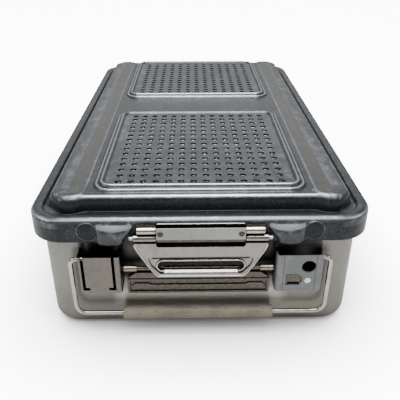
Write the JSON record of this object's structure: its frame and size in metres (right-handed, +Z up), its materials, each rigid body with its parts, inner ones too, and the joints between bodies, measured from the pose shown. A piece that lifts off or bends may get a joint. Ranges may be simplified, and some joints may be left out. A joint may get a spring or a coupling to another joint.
{
  "type": "sterilization container",
  "caption": "Rectangular instrument sterilization container: light metal base, dark lid with perforated vents, end latches, label brackets and folding bail handles.",
  "frame": {"origin": "centre of the base's flat bottom, on the surface it stands on", "axes": "+Z up, Y along the length with the pictured end at -Y, +X to the right when facing that end"},
  "size_m": [0.29, 0.5162, 0.1334],
  "materials": {
    "satin_aluminium": "satin anodised, natural",
    "dark_anodised": "hard anodised, dark grey, worn",
    "satin_steel": "satin",
    "polished_steel": "polished stainless steel",
    "matte_grey": "matte light grey",
    "grip_silicone": "matte, worn",
    "gasket_rubber": "matte",
    "filter_fleece": "non-woven paper",
    "white_enamel": "white spot"
  },
  "bodies": {
    "base": {"base_shell": "satin_aluminium", "card_bracket_front": "polished_steel", "seal_bracket_front": "matte_grey", "indicator_dot_front": "white_enamel", "keeper_rod_front": "polished_steel", "keeper_bush_left_front": "satin_steel", "keeper_bush_right_front": "satin_steel", "latch_plate_front": "satin_steel", "card_bracket_rear": "polished_steel", "seal_bracket_rear": "matte_grey", "indicator_dot_rear": "white_enamel", "keeper_rod_rear": "polished_steel", "keeper_bush_left_rear": "satin_steel", "keeper_bush_right_rear": "satin_steel", "latch_plate_rear": "satin_steel"},
    "lid": {"lid_shell": "dark_anodised", "lid_gasket": "gasket_rubber", "filter_front": "filter_fleece", "retention_plate_front": "satin_aluminium", "plate_clip_front": "satin_steel", "button_post_front": "satin_steel", "filter_rear": "filter_fleece", "retention_plate_rear": "satin_aluminium", "plate_clip_rear": "satin_steel", "button_post_rear": "satin_steel", "hinge_block_front": "satin_steel", "name_plate_front": "satin_steel", "rivet_left_front": "satin_steel", "rivet_right_front": "satin_steel", "hinge_pin_front": "polished_steel", "hinge_block_rear": "satin_steel", "name_plate_rear": "satin_steel", "rivet_left_rear": "satin_steel", "rivet_right_rear": "satin_steel", "hinge_pin_rear": "polished_steel"},
    "latch_front": {"latch_lever_front": "satin_steel"},
    "latch_rear": {"latch_lever_rear": "satin_steel"},
    "handle_front": {"bail_front": "polished_steel", "grip_front": "grip_silicone"},
    "handle_rear": {"bail_rear": "polished_steel", "grip_rear": "grip_silicone"},
    "button_front": {"turn_button_front": "satin_steel"},
    "button_rear": {"turn_button_rear": "satin_steel"}
  },
  "joints": [
    {"name": "lid_lift", "type": "slide", "parent": "base", "child": "lid", "axis": [0, 0, 1], "range_m": [0, 0.15]},
    {"name": "latch_front_swing", "type": "hinge", "parent": "lid", "child": "latch_front", "pos_m": [0, -0.2533, 0.1023], "axis": [-1, 0, 0], "range_deg": [0, 100]},
    {"name": "latch_rear_swing", "type": "hinge", "parent": "lid", "child": "latch_rear", "pos_m": [0, 0.2533, 0.1023], "axis": [1, 0, 0], "range_deg": [0, 100]},
    {"name": "handle_front_swing", "type": "hinge", "parent": "base", "child": "handle_front", "pos_m": [0, -0.2518, 0.0813], "axis": [-1, 0, 0], "range_deg": [0, 90]},
    {"name": "handle_rear_swing", "type": "hinge", "parent": "base", "child": "handle_rear", "pos_m": [0, 0.2518, 0.0813], "axis": [1, 0, 0], "range_deg": [0, 90]},
    {"name": "button_front_turn", "type": "hinge", "parent": "lid", "child": "button_front", "pos_m": [0, -0.004, 0.1226], "axis": [0, 0, 1], "range_deg": [0, 90]},
    {"name": "button_rear_turn", "type": "hinge", "parent": "lid", "child": "button_rear", "pos_m": [0, 0.019, 0.1226], "axis": [0, 0, 1], "range_deg": [0, 90]}
  ]
}
